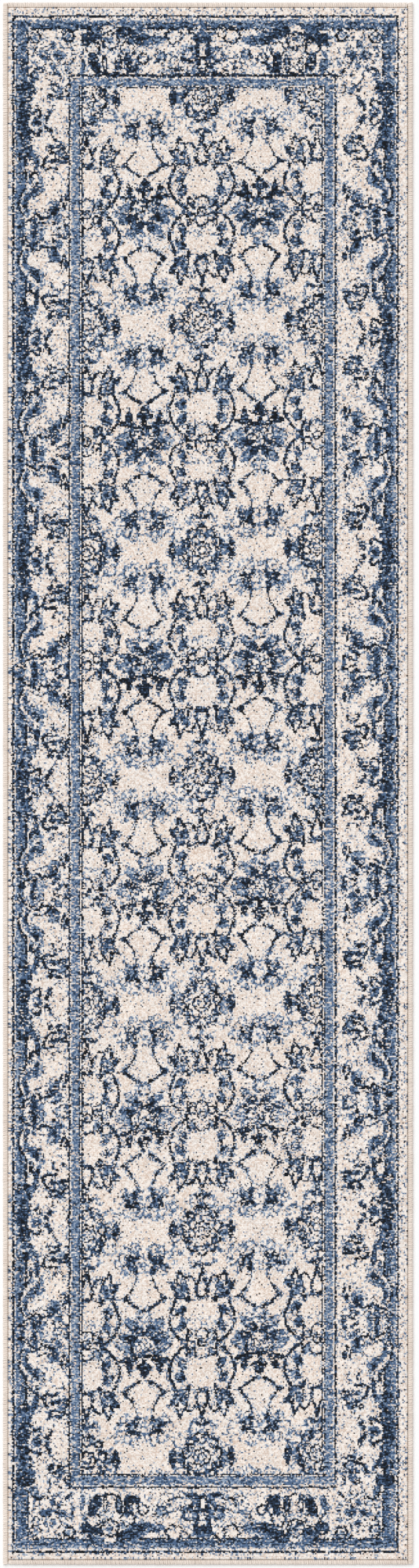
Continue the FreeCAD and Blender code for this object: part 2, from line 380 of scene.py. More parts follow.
def paintBorder(half):
    # one half repeat of the side border: u inwards from the outer guard line, v from a palmette's centre
    c = Cloth((0, 110), (0, half + 1))
    c.bar(12.5, 100, 9.5, 1000, "stripe")
    c.bar(16, 100, 5, 1000, "denim")
    c.bar(17, 185, 14, 36, "denim")
    c.bar(30, 150, 14, 9, "denim")
    c.bar(10, 176, 2.5, 14, "sky")
    for u, v, size in ((17, 186, 12), (20, 174, 9), (15, 198, 11), (14, 208, 12), (24, 208, 8), (32, 182, 7),
                       (28, 196, 9), (32, 166, 8), (33, 154, 9)):
        c.oval(u, v, size * 1.5, size, 80, "navy")
    c.bar(24, 207, 4, 9, "navy")
    c.oval(11, 148, 17, 6, 90, "line")
    c.oval(24, 146, 20, 9, 90, "line")
    # the sickle leaf, its column and its pale ribs
    c.oval(38, 79, 42, 21, 18, "denim")
    c.vine([(30, 72), (24, 64), (21, 54), (22, 45), (26, 36)], 8.5, "denim")
    c.leaf(24, 52, 20, 6, 88, "navy")
    c.oval(44, 87, 20, 12, 70, "navy")
    c.vine([(52, 76), (54, 90), (52, 108)], 5.6, "sky")
    c.oval(33, 101, 15, 12, 60, "sky")
    c.vine([(45, 110), (46, 122), (46, 136), (42, 146), (35, 152)], 9, "denim")
    c.vine([(47, 112), (48, 122), (48, 136), (43, 146)], 3.6, "navy")
    c.vine([(42, 118), (43, 130)], 3.6, "navy")
    c.oval(33, 130, 23, 13, 84, "ground")
    c.vine([(27, 101), (27, 112), (29, 122)], 4, "ground")
    c.oval(33, 109, 12, 7, 70, "line")
    c.vine([(32, 114), (38, 117), (46, 113)], 3.6, "line")
    c.vine([(22, 29), (17, 40), (14.5, 50), (14.5, 60), (18, 70), (25, 80), (33, 88), (40, 94), (42, 103),
            (40, 111)], 4.4, "ground")
    c.vine([(18, 34), (13, 42), (10.5, 50), (10.5, 60), (12, 69), (17, 79), (23, 87), (24, 98), (24, 118),
            (24, 140)], 3.8, "line")
    c.vine([(52, 112), (52, 130), (50, 140)], 2.8, "haze")
    # spot flower in its pale halo, with hooks below it
    c.oval(45, half, 24, 20, 0, "denim")
    c.disc(45, half, 5.5, "navy")
    c.vine([(31, half), (35, 204), (45, 200), (56, 206), (60, half)], 4, "ground")
    c.vine([(35, 197), (41, 192), (49, 188), (52, 196), (50, 202)], 4.4, "line")
    c.vine([(56, 193), (64, 195), (70, 192)], 3, "haze")
    c.oval(64.5, 206, 11, 8, 80, "line")
    c.oval(71, 196, 13, 9, 100, "navy")
    c.vine([(74, 190), (80, 180), (90, 172)], 4.6, "lace")
    # the large lacy rosette beside the stripe
    c.oval(89, 151, 42, 34, 90, "haze")
    c.vine([(66, 166), (74, 162), (86, 166), (98, 162), (106, 164)], 5.4, "lace")
    c.leaf(72, 164, 15, 8, 60, "line")
    c.leaf(88, 166, 16, 8, 20, "navy")
    c.oval(91, 148, 22, 17, 60, "sky")
    c.ring(91, 149, 10, 3, "line")
    c.disc(84, 147, 3.6, "haze")
    c.oval(76, 138, 17, 9, 10, "navy")
    c.oval(97, 135, 22, 7, 0, "navy")
    c.leaf(75, 154, 13, 6, 20, "line")
    c.leaf(103, 146, 14, 6, 80, "line")
    c.disc(70, 145, 5, "ground")
    c.vine([(57, 128), (59, 136), (62, 142), (66, 148)], 5.2, "line")
    c.vine([(59, 126), (66, 122), (74, 125), (83, 123)], 4.8, "line")
    c.disc(68, 132, 4.6, "ground")
    c.vine([(76, 101), (78, 110), (86, 114), (95, 111), (98, 102)], 4.6, "lace")
    c.vine([(70, 104), (70, 95), (77, 88), (88, 89), (96, 96)], 3.4, "haze")
    c.vine([(80, 80), (88, 76), (97, 78), (101, 84)], 3.2, "haze")
    c.leaf(93, 63, 18, 5, 88, "line")
    c.leaf(103, 64, 22, 8, 92, "line")
    c.leaf(98, 49, 15, 6, 100, "line")
    c.bar(109, 14, 2, 18, "haze")
    # palmette
    c.oval(78, 43, 34, 19, 62, "denim")
    c.oval(80, 40, 19, 10, 80, "navy")
    c.oval(74, 55, 12, 10, 40, "sky")
    c.oval(87, 25, 17, 12, 60, "denim")
    c.disc(78, 17, 4, "line")
    c.oval(40, 15, 29, 13, 88, "denim")
    c.leaf(41, 14, 24, 7, 88, "navy")
    c.oval(40, 1, 12, 8, 0, "navy")
    c.vine([(35, 36), (42, 42), (52, 46), (62, 42), (70, 36)], 4.2, "lace")
    c.vine([(50, 34), (54, 25), (59, 29), (67, 28), (76, 32), (81, 33)], 4.2, "line")
    c.vine([(28, 24), (38, 29), (44, 34), (50, 33)], 3.2, "line")
    c.oval(14, 12, 13, 8, 12, "line")
    c.vine([(17, 15), (23, 22), (30, 24), (38, 30)], 3.2, "line")
    c.vine([(22, 6), (25, 14), (32, 18)], 3, "lace")
    c.oval(54, 8, 17, 12, 80, "sky")
    c.disc(54, 4, 3.4, "denim")
    c.vine([(47, 20), (56, 17), (66, 20)], 2.8, "lace")
    c.disc(63, 10, 4.4, "ground")
    c.vine([(83, 5), (92, 9), (101, 12), (110, 10)], 4.4, "navy")
    c.oval(106, 4, 15, 8, 0, "denim")
    c.oval(102, 29, 13, 8, 80, "haze")
    c.lobes(90, -2, 12, 3, 8, .2, "lace")
    return c


def paintEnd():
    # the border at a head or foot end: u from its middle axis, v inwards from the guard line
    c = Cloth((0, 376), (0, 117))
    c.bar(0, 80, 250, 34, "haze")
    c.bar(0, 15, 1000, 9, "denim")
    c.bar(0, 9, 1000, 2.5, "stripe")
    c.bar(0, 25, 1000, 1.4, "line")
    # dark blocks that the band swells into
    c.oval(236, 45, 32, 22, 10, "navy")
    c.bar(211, 32, 16, 15, "navy")
    c.oval(203, 24, 26, 12, 20, "denim")
    c.oval(136, 35, 76, 28, -24, "denim")
    c.oval(150, 31, 36, 22, -24, "navy")
    c.oval(121, 46, 28, 17, -10, "navy")
    c.oval(92, 46, 32, 16, 5, "denim")
    # pale bud between the blocks, and its eye
    c.oval(181, 27, 24, 20, 0, "ground")
    c.lobes(180, 46, 16, 3.4, 8, .2, "line")
    c.disc(180, 46, 12, "ground")
    c.lobes(180, 46, 11, 2.4, 6, .2, "lace")
    c.disc(180, 45, 6, "denim")
    # cream cells over the pair of dark flowers
    for u, v in ((213, 62), (146, 64)):
        c.lobes(u, v, 13, 3.4, 5, .3, "line")
        c.disc(u, v, 9, "ground")
    c.oval(183, 94, 38, 18, 90, "ground")
    c.oval(210, 91, 40, 19, 110, "navy")
    c.oval(210, 93, 22, 9, 110, "line")
    c.oval(235, 96, 28, 13, 100, "denim")
    c.oval(190, 92, 32, 10, 95, "line")
    c.oval(190, 93, 20, 4, 95, "ground")
    c.oval(144, 91, 41, 17, 92, "navy")
    c.oval(144, 95, 24, 8, 92, "line")
    c.oval(163, 92, 34, 13, 85, "line")
    c.oval(163, 92, 22, 5, 85, "sky")
    c.oval(129, 99, 22, 10, 60, "navy")
    c.ring(116, 82, 9.5, 3.6, "line")
    c.disc(116, 82, 7, "ground")
    c.vine([(232, 68), (241, 80), (249, 94), (256, 108)], 4.4, "denim")
    c.vine([(200, 108), (183, 112), (168, 108)], 3.2, "line")
    # lace towards the middle palmette
    c.flower(82, 77, 15, 6, .2, "lace")
    c.disc(82, 77, 6, "sky")
    c.oval(104, 64, 24, 15, 0, "ground")
    c.oval(66, 60, 26, 14, 30, "ground")
    c.oval(98, 103, 26, 14, 0, "ground")
    c.lobes(56, 37, 14, 3.4, 5, .3, "line")
    c.disc(56, 38, 8, "ground")
    c.vine([(48, 23), (38, 19), (28, 24), (24, 34)], 3.2, "line")
    c.lobes(38, 31, 8, 2.6, 5, .3, "lace")
    c.lobes(52, 92, 11, 2.8, 5, .3, "lace")
    c.lobes(70, 106, 9, 2.8, 5, .3, "lace")
    c.vine([(78, 96), (66, 90), (58, 78)], 3, "lace")
    # middle palmette
    c.oval(0, 62, 34, 30, 0, "ground")
    c.bar(0, 43, 18, 7.5, "navy")
    c.oval(0, 34, 44, 9, 0, "denim")
    c.oval(11, 70, 38, 10, 90, "navy")
    c.ring(27, 73, 10.5, 6, "denim")
    c.disc(27, 73, 6.5, "ground")
    c.oval(30, 87, 28, 9, -20, "navy")
    c.oval(0, 95, 32, 17, 90, "line")
    c.oval(0, 94, 22, 8, 90, "ground")
    c.oval(23, 111, 28, 11, 10, "navy")
    c.oval(15, 101, 16, 11, 80, "denim")
    c.vine([(66, 99), (52, 105), (38, 104)], 3.4, "line")
    return c


def paintCorner():
    # the corner square with its cross of buds: u and v inwards from the two guard lines
    c = Cloth((0, 133), (0, 153))
    c.bar(15.5, 100, 11.5, 92, "denim")
    c.bar(10, 100, 4, 92, "stripe")
    c.bar(28, 72, 1.5, 46, "line")
    c.bar(110, 15, 100, 9, "denim")
    c.bar(80, 25, 48, 1.4, "line")
    c.flower(76, 76, 42, 8, .07, "haze", turn=.4)
    for u, v in ((76, 54), (76, 98), (53, 76), (99, 76)):
        c.lobes(u, v, 15, 2.8, 6, .2, "lace")
        c.disc(u, v, 12, "ground")
    for u, tip in ((62, 1), (90, -1)):
        c.oval(u, 76, 24, 15, 6 * tip, "denim")
        c.leaf(u + 4 * tip, 76, 14, 6, 0, "navy")
    c.oval(76, 55, 16, 11, 90, "denim")
    c.oval(76, 96, 16, 11, 90, "denim")
    c.disc(76, 76, 3.6, "ground")
    for u, v in ((43, 41), (108, 38)):
        c.lobes(u, v, 10, 4, 6, .25, "line")
        c.disc(u, v, 4, "sky")
    c.vine([(38, 28), (48, 32), (58, 28)], 3, "lace")
    c.vine([(88, 32), (96, 28), (104, 26)], 3, "lace")
    c.vine([(36, 58), (44, 66), (38, 76), (44, 88)], 3, "lace")
    c.vine([(118, 60), (112, 70), (118, 82), (112, 92)], 3.4, "lace")
    c.vine([(34, 116), (40, 106), (50, 102), (58, 107)], 4.4, "line")
    c.vine([(102, 104), (110, 112), (116, 124)], 4.4, "line")
    c.lobes(80, 120, 12, 3, 6, .25, "lace")
    c.oval(52, 126, 24, 20, 60, "ground")
    c.oval(40, 120, 22, 12, 120, "denim")
    c.oval(24, 142, 34, 28, 0, "navy")
    c.oval(80, 140, 26, 14, 20, "lace")
    c.oval(90, 146, 16, 9, 60, "denim")
    c.lobes(110, 140, 9, 3, 5, .3, "line")
    return c


# where the stripes and edges of the design run, in mm from the rug's middle
layout = {
    "left": -379.0,          # the guard lines on the four sides
    "right": 369.5,
    "head": 1497.0,
    "foot": -1499.0,
    "palmetteRow": 1085.5,   # a row where the side borders have a palmette
    "field": ((-243, -1347), (222, 1357)),     # lower left and upper right corner
    "stripes": (                               # round the field, from outside in
        ((-272, -1375), (250.5, 1384.5), "line"),
        ((-268, -1371), (246.5, 1378.5), "ground"),
        ((-265.5, -1368), (244, 1375.5), "stripe"),
        ((-250.5, -1352), (228.5, 1362), "line"),
        ((-248.5, -1351), (227, 1360.5), "ground"),
        ((-246.5, -1349.5), (224.5, 1358.5), "line"),
    ),
}


def within(x, y, low, high):
    return (x > low[0]) & (x < high[0]) & (y > low[1]) & (y < high[1])


def paintDesign(x, y):
    # the blend of every tuft, before wear
    inField = within(x, y, *layout["field"])
    climbed = y - weave["skew"] * x
    tone = np.where(inField, fieldTone(x, climbed), 0)
    half = weave["borderRepeat"] / 2
    along = np.abs((climbed - layout["palmetteRow"] + half) % (2 * half) - half)
    border = paintBorder(half)
    for u in (x - layout["left"], layout["right"] - x):
        where = (u > 2.5) & (u < 109) & (y < 1345) & (y > -1347)
        tone = np.where(where, border.at(u, along), tone)
    across = np.abs(x - (layout["left"] + layout["right"]) / 2)
    halfWidth = (layout["right"] - layout["left"]) / 2
    end, corner = paintEnd(), paintCorner()
    toCorner = halfWidth - across
    fromAxis = np.abs(x - weave["endAxis"])
    for v in (layout["head"] - y, y - layout["foot"]):
        tone = np.where((v > 3) & (v < 116) & (toCorner > 0), end.at(fromAxis, v), tone)
        where = (v > 24) & (v < 152) & (toCorner < 109) & (toCorner > 2.5)
        where |= (v > 24) & (v < 116) & (toCorner < 132) & (toCorner > 108)
        tone = np.where(where, corner.at(toCorner, v), tone)
    inside = (across < halfWidth + 2.2) & (y < layout["head"] + 2) & (y > layout["foot"] - 2)
    core = (across < halfWidth - 1.8) & (y < layout["head"] - 2) & (y > layout["foot"] + 2)
    tone[inside & ~core] = blendNames.index("line")
    tone[~inside & ((x > 372) | (y > 1499))] = blendNames.index("flecks")
    for low, high, blend in layout["stripes"]:
        tone[within(x, y, low, high) & ~inField] = blendNames.index(blend)
    inBorder = core & ~within(x, y, *layout["stripes"][1][:2])
    return tone, inField, inBorder


yarnColours = ["#f0eae5", "#dfd0c5", "#9cacc0", "#567093", "#283950", "#11161e"]


def spread(mask):
    # the mask and the tufts next to it
    wider = mask.copy()
    for shift, axis in ((1, 0), (-1, 0), (1, 1), (-1, 1)):
        wider |= np.roll(mask, shift, axis)
    return wider


def addRims(tone, rng):
    # a broken dark outline just inside every filled shape, and frayed yarn beyond it
    filled = (tone >= blendNames.index("sky")) & (tone < blendNames.index("line"))
    inner = filled & spread(~filled)
    whole = cloudy(rng, tone.shape, 4, 4) > .25
    tone = np.where(inner & whole, blendNames.index("rim"), tone)
    marked = tone >= blendNames.index("rim")
    fringe = spread(spread(marked)) & (tone == 0)
    patches = cloudy(rng, tone.shape, 7, 7) > -.3
    return np.where(fringe & patches, blendNames.index("haze"), tone)


def chooseYarn(tone, inField, inBorder, rng):
    # a yarn for every tuft from its blend; in the open blends the darker yarns run in thin curls
    shape = tone.shape
    noise = smooth(rng.standard_normal(shape), 2, 2)
    curls = ranked(-np.abs(noise / noise.std()) + .18 * rng.standard_normal(shape))
    mottle = ranked(smooth(rng.standard_normal(shape), 2, 1) + .5 * rng.standard_normal(shape))
    near = smooth((tone >= blendNames.index("sky")).astype(float), 7, 7)
    patches = cloudy(rng, shape, 26, 34)
    streaks = cloudy(rng, shape, 40, 2)
    worn = np.zeros(shape)
    y = np.linspace(-1514, 1514, shape[0])[:, None]
    for middle, half, strength in wornBands:
        worn = np.maximum(worn, strength * np.exp(-((y - middle) / half) ** 2))
    wear = np.clip(.5 * worn + .25 * patches + .12 * streaks, 0, 1)
    table = np.array([np.cumsum(blends[name]) for name in blendNames])
    plain = tone == 0
    towards = np.clip((1.1 * near + .3 * inBorder - .12) * (1 + .6 * patches), 0, .8)
    share = np.where(plain, towards * (inField | inBorder), np.where(inField, .34, .15) * wear)
    other = np.where(plain, blendNames.index("haze"), 0)
    limits = (1 - share[..., None]) * table[tone] + share[..., None] * table[other]
    loose = ranked(rng.standard_normal(shape))
    chance = np.where(tone < blendNames.index("stripe"), curls, mottle)
    chance = np.where(plain & (share < .12), loose, chance)
    return (chance[..., None] > limits[..., :-1]).sum(-1)


def wovenPicture(x, y):
    # the yarn number of every tuft
    rng = np.random.default_rng(weave["seed"])
    shape = x.shape
    wander = weave["drift"]
    u = x + wander * cloudy(rng, shape, 5, 5) + weave["ragged"] * rng.uniform(-1, 1, shape)
    v = y + wander * cloudy(rng, shape, 5, 5) + weave["ragged"] * rng.uniform(-1, 1, shape)
    tone, inField, inBorder = paintDesign(u, v)
    tone = addRims(tone, rng)
    return chooseYarn(tone, inField, inBorder, rng)


# small helpers: colours, nodes, meshes
def linear(hexColour):
    # sRGB hex to the linear numbers that a shader takes
    parts = [int(hexColour[i:i + 2], 16) / 255 for i in (1, 3, 5)]
    return [p / 12.92 if p <= .04045 else ((p + .055) / 1.055) ** 2.4 for p in parts]


def addNode(tree, kind, inputs=None, **settings):
    # inputs are values, or sockets to link from
    node = tree.nodes.new(kind)
    for name, value in settings.items():
        setattr(node, name, value)
    for name, value in (inputs or {}).items():
        if isinstance(value, bpy.types.NodeSocket):
            tree.links.new(value, node.inputs[name])
        else:
            node.inputs[name].default_value = value
    return node


def calc(tree, operation, *values, clamp=False):
    # the outcome of one step of arithmetic
    node = addNode(tree, "ShaderNodeMath", dict(enumerate(values)), operation=operation, use_clamp=clamp)
    return node.outputs[0]


def remap(tree, value, fromLow, fromHigh, toLow, toHigh):
    # a value from one range laid onto another
    node = addNode(tree, "ShaderNodeMapRange", {"Value": value, "From Min": fromLow, "From Max": fromHigh,
                                                "To Min": toLow, "To Max": toHigh})
    return node.outputs["Result"]


def noise(tree, place, scale, detail, roughness=.5):
    node = addNode(tree, "ShaderNodeTexNoise",
                   {"Vector": place, "Scale": scale, "Detail": detail, "Roughness": roughness})
    return node.outputs["Fac"]


def mixed(tree, share, first, second):
    # one colour fading into another
    node = addNode(tree, "ShaderNodeMix", {"Factor": share, "A": first, "B": second}, data_type="VECTOR")
    return node.outputs[1]


def finishMaterial(tree, shader, colour, height, strength, distance):
    # the colour and the fine relief go to the shader
    tree.links.new(colour, shader.inputs["Base Color"])
    bump = addNode(tree, "ShaderNodeBump", {"Height": height, "Strength": strength, "Distance": distance})
    tree.links.new(bump.outputs["Normal"], shader.inputs["Normal"])


def newMaterial(name, roughness, **shaderValues):
    # a material with its principled shader; the values go straight onto the shader's sockets
    material = bpy.data.materials.new(name)
    material.use_nodes = True
    shader = material.node_tree.nodes["Principled BSDF"]
    shader.inputs["Roughness"].default_value = roughness
    for socket, value in shaderValues.items():
        shader.inputs[socket].default_value = value
    return material, material.node_tree, shader


def newMesh(name, points, faces, smoothFaces=False):
    # points as an array; faces as a list of arrays, one array for each number of corners
    mesh = bpy.data.meshes.new(name)
    loops = np.concatenate([f.ravel() for f in faces])
    sizes = np.concatenate([np.full(len(f), f.shape[1]) for f in faces])
    mesh.vertices.add(len(points))
    mesh.vertices.foreach_set("co", np.asarray(points, np.float32).ravel())
    mesh.loops.add(len(loops))
    mesh.loops.foreach_set("vertex_index", loops.astype(np.int32))
    mesh.polygons.add(len(sizes))
    mesh.polygons.foreach_set("loop_start", (np.cumsum(sizes) - sizes).astype(np.int32))
    mesh.polygons.foreach_set("use_smooth", np.full(len(sizes), smoothFaces))
    mesh.update(calc_edges=True)
    mesh.validate()
    return mesh


def newTree(name, sizes):
    # a Geometry Nodes tree with a geometry input and named sizes: name to (kind, value)
    tree = bpy.data.node_groups.new(name, "GeometryNodeTree")
    tree.interface.new_socket("Geometry", in_out="INPUT", socket_type="NodeSocketGeometry")
    for label, (kind, value) in sizes.items():
        socket = tree.interface.new_socket(label, in_out="INPUT", socket_type="NodeSocket" + kind)
        socket.default_value = value
    tree.interface.new_socket("Geometry", in_out="OUTPUT", socket_type="NodeSocketGeometry")
    return tree, addNode(tree, "NodeGroupInput").outputs


def endTree(tree, geometry, material):
    real = addNode(tree, "GeometryNodeRealizeInstances", {"Geometry": geometry})
    painted = addNode(tree, "GeometryNodeSetMaterial", {"Geometry": real.outputs[0], "Material": material})
    addNode(tree, "NodeGroupOutput", {"Geometry": painted.outputs[0]})


def growPiece(name, base, tree, **sizes):
    # runs the tree on the base mesh and keeps the plain mesh that comes out
    source = bpy.data.objects.new(name + "Source", base)
    bpy.context.scene.collection.objects.link(source)
    modifier = source.modifiers.new("grow", "NODES")
    modifier.node_group = tree
    for item in tree.interface.items_tree:
        if item.in_out == "INPUT" and item.name in sizes:
            modifier[item.identifier] = sizes[item.name]
    graph = bpy.context.evaluated_depsgraph_get()
    mesh = bpy.data.meshes.new_from_object(source.evaluated_get(graph))
    bpy.data.objects.remove(source)
    bpy.data.meshes.remove(base)
    mesh.name = name
    piece = bpy.data.objects.new(name, mesh)
    bpy.context.scene.collection.objects.link(piece)
    return piece


def layInFrame(piece, nodes):
    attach(piece, "root")
    if nodes:
        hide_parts(*nodes)
    print("piece", piece.name, len(piece.data.polygons), "faces")
    return piece


# the cut pile
pile = {
    "bands": 8,              # pieces along the length
    "tipRise": 1.0,          # mm from the gaps between the tufts to their tips
    "heightScatter": .35,    # mm
    "sidewaysScatter": .45,  # mm
    "gapScatter": .3,        # mm
    "shoulder": 4.0,         # mm over which the rim rounds down
    "shoulderDrop": 3.2,     # mm
    "overhang": .45,         # mm that the outermost tufts bulge over the groove
    "seed": 7,
    "yarnScatter": .055,     # how much single tufts differ in lightness
    "fibre": .35,            # mm, width of the fibre streaks; drawn coarser than a real 0.05 mm filament
}


def heatSetPileYarn():
    # Heat-set polypropylene, spun bulky and cut: matte, with a faint bloom on the tips and heathering.
    material, tree, shader = newMaterial(
        "heatSetPolypropylenePile", .88,
        **{"IOR": 1.49, "Specular IOR Level": .25, "Sheen Weight": .06, "Sheen Roughness": .5})
    yarn = addNode(tree, "ShaderNodeAttribute", attribute_name="yarn")
    place = addNode(tree, "ShaderNodeTexCoord").outputs["Object"]
    fibre = noise(tree, place, 1 / (pile["fibre"] * mm * 4), 2.0, .6)
    streak = remap(tree, fibre, .3, .7, .86, 1.12)
    heather = addNode(tree, "ShaderNodeVectorMath", {0: yarn.outputs["Color"], "Scale": streak},
                      operation="SCALE")
    finishMaterial(tree, shader, heather.outputs["Vector"], fibre, .5, pile["fibre"] * mm)
    return material


def tuftTree(material):
    tree, given = newTree("cutTufts", {
        "Tip Rise": ("Float", .001), "Height Scatter": ("Float", .0003),
        "Sideways Scatter": ("Float", .0004), "Gap Scatter": ("Float", .0003), "Seed": ("Int", 0)})
    tip = addNode(tree, "GeometryNodeInputNamedAttribute", {"Name": "tip"}, data_type="FLOAT")
    chance = addNode(tree, "FunctionNodeRandomValue",
                     {"Min": (-1, -1, -1), "Max": (1, 1, 1), "Seed": given["Seed"]},
                     data_type="FLOAT_VECTOR")
    sideways = addNode(tree, "ShaderNodeCombineXYZ",
                       {"X": given["Sideways Scatter"], "Y": given["Sideways Scatter"],
                        "Z": given["Height Scatter"]})
    stray = addNode(tree, "ShaderNodeVectorMath", {0: chance.outputs[0], 1: sideways.outputs[0]},
                    operation="MULTIPLY")
    rise = addNode(tree, "ShaderNodeCombineXYZ", {"Z": given["Tip Rise"]})
    total = addNode(tree, "ShaderNodeVectorMath", {0: stray.outputs[0], 1: rise.outputs[0]}, operation="ADD")
    tips = addNode(tree, "GeometryNodeSetPosition",
                   {"Geometry": given["Geometry"], "Selection": addNode(
                       tree, "FunctionNodeCompare", {"A": tip.outputs[0], "B": .5}, data_type="FLOAT",
                       operation="GREATER_THAN").outputs[0], "Offset": total.outputs[0]})
    # the gaps move with a noise of their place, so that neighbouring bands still meet
    place = addNode(tree, "GeometryNodeInputPosition")
    rough = addNode(tree, "ShaderNodeTexNoise", {"Vector": place.outputs[0], "Scale": 260.0, "Detail": 1.0})
    centred = addNode(tree, "ShaderNodeVectorMath", {0: rough.outputs["Color"], 1: (.5, .5, .5)},
                      operation="SUBTRACT")
    shift = addNode(tree, "ShaderNodeVectorMath",
                    {0: centred.outputs[0], "Scale": given["Gap Scatter"]}, operation="SCALE")
    wider = addNode(tree, "ShaderNodeVectorMath", {0: shift.outputs[0], "Scale": 5.0}, operation="SCALE")
    isGap = addNode(tree, "FunctionNodeCompare", {"A": tip.outputs[0], "B": 0.0, "Epsilon": .1},
                    data_type="FLOAT", operation="EQUAL")
    gaps = addNode(tree, "GeometryNodeSetPosition",
                   {"Geometry": tips.outputs[0], "Selection": isGap.outputs[0], "Offset": wider.outputs[0]})
    endTree(tree, gaps.outputs[0], material)
    return tree


def shoulderDrop(x, y, low, high):
    # how far the pile's surface sinks near the rim
    toRim = np.minimum(np.minimum(x - low[0], high[0] - x), np.minimum(y - low[1], high[1] - y))
    near = np.clip(1 - toRim / (pile["shoulder"] * mm), 0, 1)
    return pile["shoulderDrop"] * mm * (1 - np.sqrt(1 - near ** 2 * .999))


def pileBandMesh(name, firstRow, lastRow, colours, low, high):
    # four facets for each tuft round a raised tip, a wall round the band and a flat underside
    rows, cols = lastRow - firstRow, colours.shape[1]
    xs = np.linspace(low[0], high[0], cols + 1)
    ys = np.linspace(low[1], high[1], colours.shape[0] + 1)[firstRow:lastRow + 1]
    surface = high[2] - pile["tipRise"] * mm
    gapX, gapY = np.meshgrid(xs, ys)
    tipX, tipY = np.meshgrid((xs[1:] + xs[:-1]) / 2, (ys[1:] + ys[:-1]) / 2)
    gaps = np.stack([gapX, gapY, surface - shoulderDrop(gapX, gapY, low, high)], -1).reshape(-1, 3)
    tips = np.stack([tipX, tipY, surface - shoulderDrop(tipX, tipY, low, high)], -1).reshape(-1, 3)
    number = np.arange(len(gaps)).reshape(rows + 1, cols + 1)
    a, b, c, d = number[:-1, :-1], number[:-1, 1:], number[1:, 1:], number[1:, :-1]
    centre = len(gaps) + np.arange(rows * cols).reshape(rows, cols)
    facets = np.stack([np.stack([p, q, centre], -1) for p, q in ((a, b), (b, c), (c, d), (d, a))], -2)
    rim = np.concatenate([number[0, :-1], number[:-1, -1], number[-1, :0:-1], number[:0:-1, 0]])
    feet = gaps[rim]
    feet[:, 2] = low[2]
    foot = len(gaps) + len(tips) + np.arange(len(rim))
    after = np.roll(np.arange(len(rim)), -1)
    walls = np.stack([rim, foot, foot[after], rim[after]], -1)
    mesh = newMesh(name, np.concatenate([gaps, tips, feet]),
                   [facets.reshape(-1, 3), walls, foot[None, ::-1]])
    tipMark = np.zeros(len(gaps) + len(tips) + len(feet), np.float32)
    tipMark[len(gaps):len(gaps) + len(tips)] = 1
    tipMark[len(gaps) + len(tips):] = -1
    mesh.attributes.new("tip", "FLOAT", "POINT").data.foreach_set("value", tipMark)
    own = colours[firstRow:lastRow]
    ring = np.concatenate([own[0], own[:, -1], own[-1, ::-1], own[::-1, 0]])
    underside = own[:1, :1].reshape(1, 4)
    faceColours = np.concatenate([np.repeat(own.reshape(-1, 4), 4, 0), ring, underside])
    mesh.attributes.new("yarn", "FLOAT_COLOR", "FACE").data.foreach_set(
        "color", faceColours.astype(np.float32).ravel())
    return mesh


def tuftColours(yarn, rng):
    # linear colour of every tuft: its yarn, a little lighter or darker, with faint blush patches
    palette = np.array([linear(c) for c in yarnColours])
    colours = palette[yarn]
    shape = yarn.shape
    blush = np.clip(cloudy(rng, shape, 14, 20) * .5 + .3, 0, 1)[..., None] * np.array([.02, -.012, -.045])
    lightness = 1 + pile["yarnScatter"] * rng.standard_normal(shape) + .02 * cloudy(rng, shape, 9, 9)
    colours = colours * (1 + blush) * lightness[..., None]
    return np.concatenate([np.clip(colours, 0, 1), np.ones(shape + (1,))], -1)


def makePile():
    low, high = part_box("pile")
    cols = round((high[0] - low[0]) / (weave["tuft"] * mm))
    rows = round((high[1] - low[1]) / (weave["tuft"] * mm))
    xs = (np.arange(cols) + .5) / cols * (high[0] - low[0]) + low[0]
    ys = (np.arange(rows) + .5) / rows * (high[1] - low[1]) + low[1]
    x, y = np.meshgrid(xs / mm, ys / mm)
    yarn = wovenPicture(x, y)
    print("pattern drawn for", yarn.size, "tufts; yarn shares", np.bincount(yarn.ravel()) / yarn.size)
    colours = tuftColours(yarn, np.random.default_rng(pile["seed"]))
    tree = tuftTree(heatSetPileYarn())
    edges = np.linspace(0, rows, pile["bands"] + 1).astype(int)
    bulge = np.array([1, 1, 0]) * pile["overhang"] * mm
    outerLow, outerHigh = np.array(low) - bulge, np.array(high) + bulge
    bands = []
    for k, (first, last) in enumerate(zip(edges, edges[1:])):
        base = pileBandMesh(f"pileBase{k}", first, last, colours, outerLow, outerHigh)
        band = growPiece(
            f"pileBand{k + 1}", base, tree,
            **{"Tip Rise": pile["tipRise"] * mm, "Height Scatter": pile["heightScatter"] * mm,
               "Sideways Scatter": pile["sidewaysScatter"] * mm, "Gap Scatter": pile["gapScatter"] * mm,
               "Seed": pile["seed"] + k})
        bands.append(layInFrame(band, ["pile"]))
    return bands


# the woven ground under the pile
ground = {
    "ribPitch": 5.0,         # mm, two rows of tufts to a rib on the back
    "ribDepth": .55,         # mm
    "columns": 12,
    "slack": .25,            # mm that the back's ribs wander
    "warpPitch": 5.0,        # mm between the stuffer warps that show between the ribs
    "waveCycles": 3.18,      # wave bands to each unit of the wave node's scale
    "juteColour": "#a98c66",
    "latexColour": "#cdc2a8",
}


